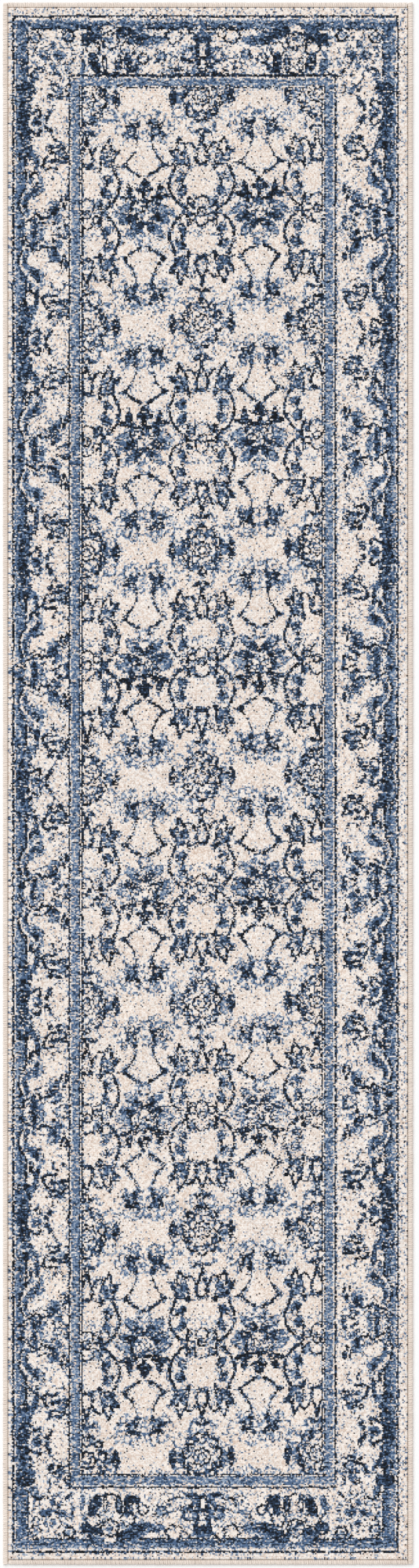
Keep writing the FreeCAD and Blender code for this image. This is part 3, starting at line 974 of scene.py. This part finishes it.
def sizedJuteGround():
    # Jute weft under a thin dried latex coat: dull brown ribs with a milky film, dry and fibrous.
    material, tree, shader = newMaterial(
        "juteWeftWithLatex", .75, **{"IOR": 1.5, "Specular IOR Level": .35, "Sheen Weight": .1})
    place = addNode(tree, "ShaderNodeTexCoord").outputs["Object"]
    stretch = addNode(tree, "ShaderNodeMapping", {"Vector": place, "Scale": (.25, 1.0, 1.0)})
    fibres = noise(tree, stretch.outputs[0], 900.0, 3.0)
    film = noise(tree, place, 35.0, 4.0)
    warps = addNode(tree, "ShaderNodeTexWave",
                    {"Vector": place, "Scale": 1 / (ground["warpPitch"] * mm) / ground["waveCycles"],
                     "Distortion": .4, "Detail": 1.0})
    jute = addNode(tree, "ShaderNodeVectorMath",
                   {0: linear(ground["juteColour"]), "Scale": remap(tree, fibres, .3, .7, .7, 1.2)},
                   operation="SCALE")
    coat = remap(tree, film, .35, .65, .4, .6)
    colour = mixed(tree, coat, jute.outputs[0], linear(ground["latexColour"]))
    height = calc(tree, "ADD", fibres, warps.outputs["Fac"])
    finishMaterial(tree, shader, colour, height, .6, .3 * mm)
    return material


def weftRibTree(material):
    tree, given = newTree("weftRibs", {"Rib Pitch": ("Float", .005), "Rib Depth": ("Float", .0005),
                                       "Slack": ("Float", .0002), "Back Height": ("Float", .0005)})
    place = addNode(tree, "GeometryNodeInputPosition")
    apart = addNode(tree, "ShaderNodeSeparateXYZ", {0: place.outputs[0]})
    turns = calc(tree, "DIVIDE", apart.outputs["Y"], given["Rib Pitch"])
    angle = calc(tree, "MULTIPLY", turns, 2 * math.pi)
    wave = calc(tree, "COSINE", angle)
    half = calc(tree, "MULTIPLY", wave, -.5)
    rib = calc(tree, "MULTIPLY", half, given["Rib Depth"])
    noise = addNode(tree, "ShaderNodeTexNoise", {"Vector": place.outputs[0], "Scale": 60.0})
    centred = calc(tree, "SUBTRACT", noise.outputs["Fac"], .5)
    wander = calc(tree, "MULTIPLY", centred, given["Slack"])
    lift = calc(tree, "ADD", rib, wander)
    offset = addNode(tree, "ShaderNodeCombineXYZ", {"Z": lift})
    isBack = addNode(tree, "FunctionNodeCompare", {"A": apart.outputs["Z"], "B": given["Back Height"],
                                                   "Epsilon": .0001}, data_type="FLOAT", operation="EQUAL")
    moved = addNode(tree, "GeometryNodeSetPosition",
                    {"Geometry": given["Geometry"], "Selection": isBack.outputs[0],
                     "Offset": offset.outputs[0]})
    endTree(tree, moved.outputs[0], material)
    return tree


def makeGround():
    # one closed sheet: a flat upper side, a ribbed back and a wall all round
    low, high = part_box("stuffer_warps")
    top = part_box("upper_weft")[1][2]
    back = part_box("back_sizing")[0][2] + ground["ribDepth"] * mm
    rows = round((high[1] - low[1]) / (ground["ribPitch"] * mm / 4))
    xs = np.linspace(low[0], high[0], ground["columns"] + 1)
    ys = np.linspace(low[1], high[1], rows + 1)
    x, y = np.meshgrid(xs, ys)
    count = x.size
    lower = np.stack([x, y, np.full_like(x, back)], -1).reshape(-1, 3)
    number = np.arange(count).reshape(x.shape)
    rim = np.concatenate([number[0, :-1], number[:-1, -1], number[-1, :0:-1], number[:0:-1, 0]])
    upper = lower[rim].copy()
    upper[:, 2] = top
    ring = count + np.arange(len(rim))
    after = np.roll(np.arange(len(rim)), -1)
    cells = np.stack([number[:-1, :-1], number[1:, :-1], number[1:, 1:], number[:-1, 1:]], -1).reshape(-1, 4)
    walls = np.stack([rim, rim[after], ring[after], ring], -1)
    base = newMesh("groundBase", np.concatenate([lower, upper]), [cells, walls, ring[None]])
    piece = growPiece("wovenGround", base, weftRibTree(sizedJuteGround()),
                      **{"Rib Pitch": ground["ribPitch"] * mm, "Rib Depth": ground["ribDepth"] * mm,
                         "Slack": ground["slack"] * mm, "Back Height": back})
    return layInFrame(piece, ["upper_weft", "stuffer_warps", "lower_weft", "back_sizing"])


# the serged edges
serging = {
    "wrapPitch": 2.6,        # mm from one turn of yarn to the next
    "yarnWidth": 2.9,        # mm, pressed flat against the edge
    "yarnThickness": 1.1,    # mm
    "slant": 9.0,            # degrees
    "slantScatter": 4.0,     # degrees
    "sizeScatter": .035,
    "cornerRound": 2.5,      # mm, radius of the outline of one turn
    "cornerRadius": 4.0,     # mm, in plan
    "cornerButt": .5,        # mm, the same where an end's serging meets a side's
    "coreCover": .65,        # how deep the core lies inside a turn, in yarn thicknesses
    "domeReach": .6,         # how far the core's end stands in the last turn, in yarn widths
    "seed": 11,
    # sunny and shaded are a lit and a shaded copy of the yarn's colour: painted light and painted shade
    "sunny": "#f6ebe1",
    "shaded": "#e6d7cb",
}


def bulkedPolyesterSerging():
    # Bulked polyester overlock yarn: a soft silky sheen across many fine filaments, dull between the turns.
    material, tree, shader = newMaterial(
        "bulkedPolyesterSerging", .62,
        **{"IOR": 1.54, "Specular IOR Level": .35, "Sheen Weight": .2, "Sheen Roughness": .4})
    place = addNode(tree, "ShaderNodeTexCoord").outputs["Object"]
    filaments = noise(tree, place, 1400.0, 2.0)
    # painted light and shade: fine filament streaks and broad noise patches mix the yarn's sunny and shaded
    # copies; the broad patches are painted shade, not soiling
    shadePatches = noise(tree, place, 22.0, 5.0, .65)
    share = remap(tree, calc(tree, "ADD", filaments, shadePatches), .75, 1.2, 0.0, 1.0)
    colour = mixed(tree, share, linear(serging["shaded"]), linear(serging["sunny"]))
    finishMaterial(tree, shader, colour, filaments, .35, .2 * mm)
    return material


def wrapTree(material):
    # turns of yarn in a row along +Y from the base's start; +X is outwards. The base goes through unchanged.
    tree, given = newTree("sergingTurns", {
        "Turns": ("Int", 100), "Pitch": ("Float", .0026), "Start": ("Vector", (0, 0, 0)),
        "Width": ("Float", .01), "Height": ("Float", .007), "Corner Round": ("Float", .002),
        "Yarn Width": ("Float", .0028), "Yarn Thickness": ("Float", .001), "Slant": ("Float", .1),
        "Slant Scatter": ("Float", .05), "Size Scatter": ("Float", .03), "Plan Radius": ("Float", .004),
        "Half Length": ("Float", 1.5), "Seed": ("Int", 0)})
    step = addNode(tree, "ShaderNodeCombineXYZ", {"Y": given["Pitch"]})
    line = addNode(tree, "GeometryNodeMeshLine",
                   {"Count": given["Turns"], "Start Location": given["Start"], "Offset": step.outputs[0]},
                   mode="OFFSET")
    # one turn: a rounded oblong ring of flattened yarn, with its inner side on the origin
    innerWidth = calc(tree, "SUBTRACT", given["Width"], given["Yarn Thickness"])
    innerHeight = calc(tree, "SUBTRACT", given["Height"], given["Yarn Thickness"])
    oblong = addNode(tree, "GeometryNodeCurvePrimitiveQuadrilateral",
                     {"Width": innerWidth, "Height": innerHeight})
    rounded = addNode(tree, "GeometryNodeFilletCurve",
                      {"Curve": oblong.outputs[0], "Count": 2, "Radius": given["Corner Round"]}, mode="POLY")
    profile = addNode(tree, "GeometryNodeCurvePrimitiveCircle", {"Resolution": 4, "Radius": .5})
    flat = addNode(tree, "ShaderNodeCombineXYZ",
                   {"X": given["Yarn Thickness"], "Y": given["Yarn Width"], "Z": 1.0})
    yarn = addNode(tree, "GeometryNodeTransform", {"Geometry": profile.outputs[0], "Scale": flat.outputs[0]})
    ring = addNode(tree, "GeometryNodeCurveToMesh",
                   {"Curve": rounded.outputs[0], "Profile Curve": yarn.outputs[0]})
    halfWidth = calc(tree, "MULTIPLY", given["Width"], .5)
    halfHeight = calc(tree, "MULTIPLY", given["Height"], .5)
    centre = addNode(tree, "ShaderNodeCombineXYZ", {"X": halfWidth, "Z": halfHeight})
    turn = addNode(tree, "GeometryNodeTransform",
                   {"Geometry": ring.outputs[0], "Translation": centre.outputs[0],
                    "Rotation": (math.pi / 2, 0, 0)})
    # the turns shrink where the rug's corner is rounded
    place = addNode(tree, "GeometryNodeInputPosition")
    apart = addNode(tree, "ShaderNodeSeparateXYZ", {0: place.outputs[0]})
    along = calc(tree, "ABSOLUTE", apart.outputs["Y"])
    left = calc(tree, "SUBTRACT", given["Half Length"], along)
    inArc = calc(tree, "DIVIDE", left, given["Plan Radius"], clamp=True)
    opposite = calc(tree, "SUBTRACT", 1.0, inArc)
    square = calc(tree, "POWER", opposite, 2.0)
    rest = calc(tree, "SUBTRACT", 1.0, square)
    root = calc(tree, "POWER", rest, .5)
    loss = calc(tree, "SUBTRACT", 1.0, root)
    share = calc(tree, "DIVIDE", given["Plan Radius"], given["Width"])
    cut = calc(tree, "MULTIPLY", loss, share)
    reach = calc(tree, "SUBTRACT", 1.0, cut)
    sizeChance = addNode(tree, "FunctionNodeRandomValue", {"Min": (-1, -1, -1), "Max": (1, 1, 1),
                                                           "Seed": given["Seed"]}, data_type="FLOAT_VECTOR")
    uneven = addNode(tree, "ShaderNodeVectorMath",
                     {0: sizeChance.outputs[0], "Scale": given["Size Scatter"]}, operation="SCALE")
    whole = addNode(tree, "ShaderNodeCombineXYZ", {"X": reach, "Y": 1.0, "Z": 1.0})
    scale = addNode(tree, "ShaderNodeVectorMath", {0: whole.outputs[0], 1: uneven.outputs[0]},
                    operation="ADD")
    sway = addNode(tree, "ShaderNodeSeparateXYZ", {0: sizeChance.outputs[0]})
    extra = calc(tree, "MULTIPLY", sway.outputs["Y"], given["Slant Scatter"])
    lean = calc(tree, "ADD", extra, given["Slant"])
    spin = addNode(tree, "ShaderNodeCombineXYZ", {"Z": lean})
    turns = addNode(tree, "GeometryNodeInstanceOnPoints",
                    {"Points": line.outputs[0], "Instance": turn.outputs[0], "Rotation": spin.outputs[0],
                     "Scale": scale.outputs[0]})
    both = addNode(tree, "GeometryNodeJoinGeometry")
    tree.links.new(turns.outputs[0], both.inputs[0])
    tree.links.new(given["Geometry"], both.inputs[0])
    soft = addNode(tree, "GeometryNodeSetShadeSmooth", {"Geometry": both.outputs[0]})
    endTree(tree, soft.outputs[0], material)
    return tree


def cordCoreMesh(name, width, height, halfLength):
    # the padded filler under the turns: a closed bar whose domed ends fill the last turn
    sides = 12
    dome = [(0, .45), (.35 * mm, .8), (1.1 * mm, 1)]
    rings = [(inset - halfLength, size) for inset, size in dome]
    rings += [(halfLength - inset, size) for inset, size in dome[::-1]]
    angles = np.arange(sides) / sides * 2 * math.pi
    points = []
    for y, size in rings:
        points.append(np.stack([width * (.5 + .5 * size * np.cos(angles)), np.full(sides, y),
                                height * (.5 + .5 * size * np.sin(angles))], -1))
    number = np.arange(sides * len(rings)).reshape(len(rings), sides)
    near, far = number[:-1], number[1:]
    walls = np.stack([near, np.roll(near, -1, 1), np.roll(far, -1, 1), far], -1).reshape(-1, 4)
    caps = np.stack([number[0][::-1], number[-1]])
    return newMesh(name, np.concatenate(points), [walls[:, ::-1], caps[:, ::-1]], True)


def makeSerging():
    tree = wrapTree(bulkedPolyesterSerging())
    pieces = []
    for k, side in enumerate(("left", "right", "head", "foot")):
        low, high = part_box(side + "_edge_serging")
        width = min(high[0] - low[0], high[1] - low[1])
        length = max(high[0] - low[0], high[1] - low[1])
        height = high[2] - low[2]
        long = side in ("left", "right")
        radius = serging["cornerRadius" if long else "cornerButt"] * mm
        pitch = serging["wrapPitch"] * mm
        turns = int(length / pitch) - (1 if long else 0)
        cover = serging["coreCover"] * serging["yarnThickness"] * mm
        reach = (turns - 1) * pitch / 2 + serging["domeReach"] * serging["yarnWidth"] * mm
        base = cordCoreMesh(side + "Core", width - 2 * cover, height - 2 * cover, min(reach, length / 2))
        base.transform(Matrix.Translation((cover, 0, cover)))
        piece = growPiece(
            side + "Serging", base, tree,
            **{"Turns": turns, "Pitch": pitch, "Start": [0.0, -(turns - 1) * pitch / 2, 0.0], "Width": width,
               "Height": height, "Corner Round": serging["cornerRound"] * mm,
               "Yarn Width": serging["yarnWidth"] * mm, "Yarn Thickness": serging["yarnThickness"] * mm,
               "Slant": math.radians(serging["slant"]),
               "Slant Scatter": math.radians(serging["slantScatter"]),
               "Size Scatter": serging["sizeScatter"], "Plan Radius": radius, "Half Length": length / 2,
               "Seed": serging["seed"] + k})
        # the row was made along +Y facing +X; turn it to its own edge of the rug
        turned = {"right": 0, "head": 90, "left": 180, "foot": 270}[side]
        piece.data.transform(Matrix.Rotation(math.radians(turned), 4, "Z"))
        innerX = {"right": low[0], "left": high[0]}.get(side, 0)
        innerY = {"head": low[1], "foot": high[1]}.get(side, 0)
        piece.data.transform(Matrix.Translation((innerX, innerY, low[2])))
        pieces.append(layInFrame(piece, [side + "_edge_serging", side + "_edge_cord"]))
    return pieces


# the lock stitches in the groove
stitching = {
    "pitch": 6.2,            # mm
    "length": 4.2,           # mm
    "width": .9,             # mm
    "slant": 9.0,            # degrees
    "colour": "#c0ae9c",
    "lightColour": "#dccbbb",
    "seed": 23,
}


def twistedPolyesterThread():
    # Twisted polyester needle thread: dull brown-grey, with lighter strands where the twist turns up.
    material, tree, shader = newMaterial(
        "twistedPolyesterThread", .6, **{"IOR": 1.54, "Specular IOR Level": .3, "Sheen Weight": .1})
    twist = noise(tree, addNode(tree, "ShaderNodeTexCoord").outputs["Object"], 700.0, 2.0)
    share = remap(tree, twist, .35, .65, 0.0, 1.0)
    colour = mixed(tree, share, linear(stitching["colour"]), linear(stitching["lightColour"]))
    finishMaterial(tree, shader, colour, twist, .4, .15 * mm)
    return material


def stitchTree(material):
    tree, given = newTree("lockStitches", {
        "Stitches": ("Int", 100), "Step": ("Vector", (0, .006, 0)), "Start": ("Vector", (0, 0, 0)),
        "Length": ("Float", .004), "Width": ("Float", .0009), "Turn": ("Float", 0.0), "Seed": ("Int", 0)})
    line = addNode(tree, "GeometryNodeMeshLine",
                   {"Count": given["Stitches"], "Start Location": given["Start"], "Offset": given["Step"]},
                   mode="OFFSET")
    sphere = addNode(tree, "GeometryNodeMeshUVSphere", {"Segments": 6, "Rings": 4, "Radius": .5})
    size = addNode(tree, "ShaderNodeCombineXYZ",
                   {"X": given["Width"], "Y": given["Width"], "Z": given["Length"]})
    stitch = addNode(tree, "GeometryNodeTransform",
                     {"Geometry": sphere.outputs[0], "Scale": size.outputs[0]})
    lying = addNode(tree, "GeometryNodeTransform",
                    {"Geometry": stitch.outputs[0], "Rotation": (math.pi / 2, 0, 0)})
    chance = addNode(tree, "FunctionNodeRandomValue",
                     {"Min": (-.02, -.02, -.08), "Max": (.02, .02, .08), "Seed": given["Seed"]},
                     data_type="FLOAT_VECTOR")
    turn = addNode(tree, "ShaderNodeCombineXYZ", {"Z": given["Turn"]})
    spin = addNode(tree, "ShaderNodeVectorMath", {0: chance.outputs[0], 1: turn.outputs[0]}, operation="ADD")
    row = addNode(tree, "GeometryNodeInstanceOnPoints",
                  {"Points": line.outputs[0], "Instance": lying.outputs[0], "Rotation": spin.outputs[0]})
    soft = addNode(tree, "GeometryNodeSetShadeSmooth", {"Geometry": row.outputs[0]})
    endTree(tree, soft.outputs[0], material)
    return tree


def makeStitches():
    tree = stitchTree(twistedPolyesterThread())
    pieces = []
    for k, side in enumerate(("left", "right", "head", "foot")):
        low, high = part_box(side + "_lock_stitch")
        middle = (low + high) / 2
        long = side in ("left", "right")
        length = (high - low)[1 if long else 0]
        pitch = stitching["pitch"] * mm
        count = int(length / pitch)
        spread = (count - 1) * pitch / 2
        start = [middle[0], -spread, middle[2]] if long else [-spread, middle[1], middle[2]]
        quarter = 0.0 if long else math.pi / 2
        piece = growPiece(
            side + "LockStitch", bpy.data.meshes.new(side + "StitchBase"), tree,
            **{"Stitches": count, "Step": [0.0, pitch, 0.0] if long else [pitch, 0.0, 0.0], "Start": start,
               "Length": stitching["length"] * mm, "Width": stitching["width"] * mm,
               "Turn": quarter + math.radians(stitching["slant"]), "Seed": stitching["seed"] + k})
        pieces.append(layInFrame(piece, [side + "_lock_stitch"]))
    return pieces


# floor, lights and camera
studio = {
    "floorColour": "#fbfbfb",
    "floorHalf": 80.0,       # metres, so that its edges are out of every view
    "sunStrength": 1.76,
    "sunTurn": (-28, -20, 0),  # degrees
    "sunAngle": 60.0,        # degrees, so the shadows are soft
    "skyStrength": .585,
    "lens": 200.0,           # mm, from far off, so that the rug is seen square-on all over
    "sensor": 36.0,          # mm
    "frameLong": 3.060,      # metres that the frame's long side takes in
    "aim": (.0031, -.0008),  # metres
}


def makeStudio():
    floorMaterial, tree, shader = newMaterial("matteStudioFloor", .9, **{"Specular IOR Level": .1})
    place = addNode(tree, "ShaderNodeTexCoord")
    tone = remap(tree, noise(tree, place.outputs["Object"], 3.0, 3.0), 0.0, 1.0, .985, 1.0)
    colour = addNode(tree, "ShaderNodeVectorMath",
                     {0: linear(studio["floorColour"]), "Scale": tone}, operation="SCALE")
    tree.links.new(colour.outputs[0], shader.inputs["Base Color"])
    half = studio["floorHalf"]
    corners = np.array([[-half, -half, 0], [half, -half, 0], [half, half, 0], [-half, half, 0]], float)
    floor = bpy.data.objects.new("floor", newMesh("floor", corners, [np.array([[0, 1, 2, 3]])]))
    floor.data.materials.append(floorMaterial)
    bpy.context.scene.collection.objects.link(floor)

    sun = bpy.data.objects.new("softKey", bpy.data.lights.new("softKey", "SUN"))
    sun.data.energy = studio["sunStrength"]
    sun.data.angle = math.radians(studio["sunAngle"])
    sun.rotation_euler = [math.radians(turn) for turn in studio["sunTurn"]]
    bpy.context.scene.collection.objects.link(sun)

    world = bpy.data.worlds.new("softStudio")
    world.use_nodes = True
    sky = world.node_tree.nodes["Background"]
    sky.inputs["Color"].default_value = (1, 1, 1, 1)
    sky.inputs["Strength"].default_value = studio["skyStrength"]
    bpy.context.scene.world = world
    bpy.context.scene.view_settings.view_transform = "Standard"

    camera = bpy.data.objects.new("camera", bpy.data.cameras.new("camera"))
    camera.data.sensor_width = studio["sensor"]
    camera.data.lens = studio["lens"]
    distance = studio["frameLong"] * studio["lens"] / camera.data.sensor_width
    camera.location = (studio["aim"][0], studio["aim"][1], cadHigh[2] + distance)
    camera.data.clip_end = distance * 2
    bpy.context.scene.collection.objects.link(camera)
    bpy.context.scene.camera = camera


print("building the pile")
bands = makePile()
print("building the ground")
groundPiece = makeGround()
print("building the edges")
sergings = makeSerging()
stitches = makeStitches()
print("setting up the studio")
makeStudio()
